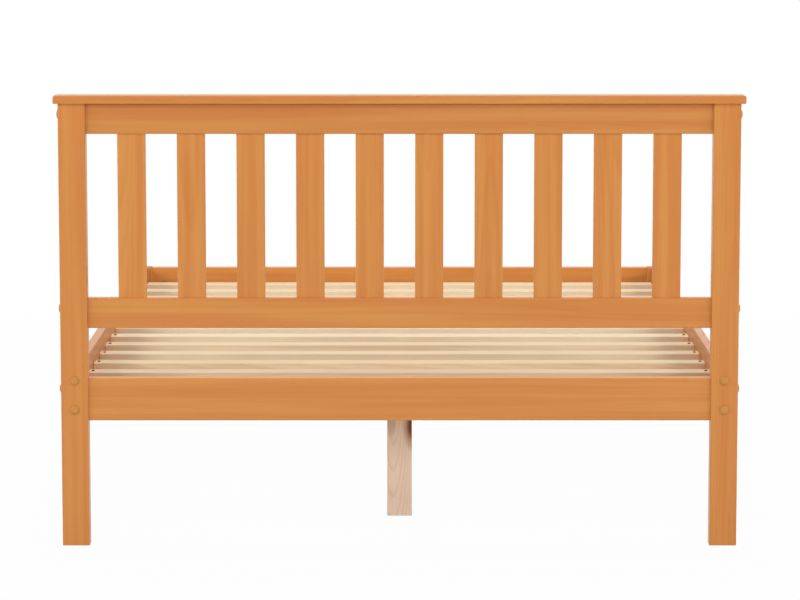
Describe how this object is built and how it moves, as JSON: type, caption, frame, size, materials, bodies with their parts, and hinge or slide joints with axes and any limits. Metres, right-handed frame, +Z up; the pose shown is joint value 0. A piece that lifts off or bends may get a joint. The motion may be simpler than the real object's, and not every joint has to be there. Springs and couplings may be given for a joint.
{
  "type": "bed frame",
  "caption": "Slatted pine bed frame: capped headboard with upright slats, bolted side and foot rails, screwed-down bed slats and a centre beam on legs.",
  "frame": {"origin": "on the floor, in the middle of the bed's length and width", "axes": "+X across the bed, +Y from the head end to the foot end, +Z up"},
  "size_m": [1.516, 2.0026, 1],
  "materials": {
    "stained_pine": "honey-brown stained pine under satin lacquer",
    "bare_pine": "planed bare pine",
    "bolt_cap": "turned cap, stained and lacquered",
    "dowel_wood": "plain beech",
    "zinc_steel": "bright zinc plate",
    "dark_screw": "dark phosphated steel"
  },
  "bodies": {
    "root": {"beam_brackets_foot": "zinc_steel", "beam_brackets_head": "zinc_steel", "bed_slat_01": "bare_pine", "bed_slat_02": "bare_pine", "bed_slat_03": "bare_pine", "bed_slat_04": "bare_pine", "bed_slat_05": "bare_pine", "bed_slat_06": "bare_pine", "bed_slat_07": "bare_pine", "bed_slat_08": "bare_pine", "bed_slat_09": "bare_pine", "bed_slat_10": "bare_pine", "bed_slat_11": "bare_pine", "bed_slat_12": "bare_pine", "bed_slat_13": "bare_pine", "bracket_screws": "dark_screw", "centre_beam": "bare_pine", "centre_leg_foot": "bare_pine", "centre_leg_head": "bare_pine", "cross_rail_barrel_nuts": "zinc_steel", "cross_rail_bolt_caps": "bolt_cap", "cross_rail_bolts": "zinc_steel", "foot_post_left": "stained_pine", "foot_post_right": "stained_pine", "foot_rail": "stained_pine", "foot_rail_dowels": "dowel_wood", "head_cap": "stained_pine", "head_cap_dowels": "dowel_wood", "head_end_rail": "stained_pine", "head_lower_rail": "stained_pine", "head_post_left": "stained_pine", "head_post_right": "stained_pine", "head_rail_dowels": "dowel_wood", "head_slat_01": "stained_pine", "head_slat_02": "stained_pine", "head_slat_03": "stained_pine", "head_slat_04": "stained_pine", "head_slat_05": "stained_pine", "head_slat_06": "stained_pine", "head_slat_07": "stained_pine", "head_slat_08": "stained_pine", "head_slat_09": "stained_pine", "head_slat_10": "stained_pine", "head_upper_rail": "stained_pine", "ledger_screws": "dark_screw", "leg_studs": "zinc_steel", "side_rail_barrel_nuts": "zinc_steel", "side_rail_bolt_caps": "bolt_cap", "side_rail_bolts": "zinc_steel", "side_rail_left": "stained_pine", "side_rail_right": "stained_pine", "slat_ledger_left": "stained_pine", "slat_ledger_right": "stained_pine", "slat_screws": "dark_screw"}
  },
  "joints": []
}
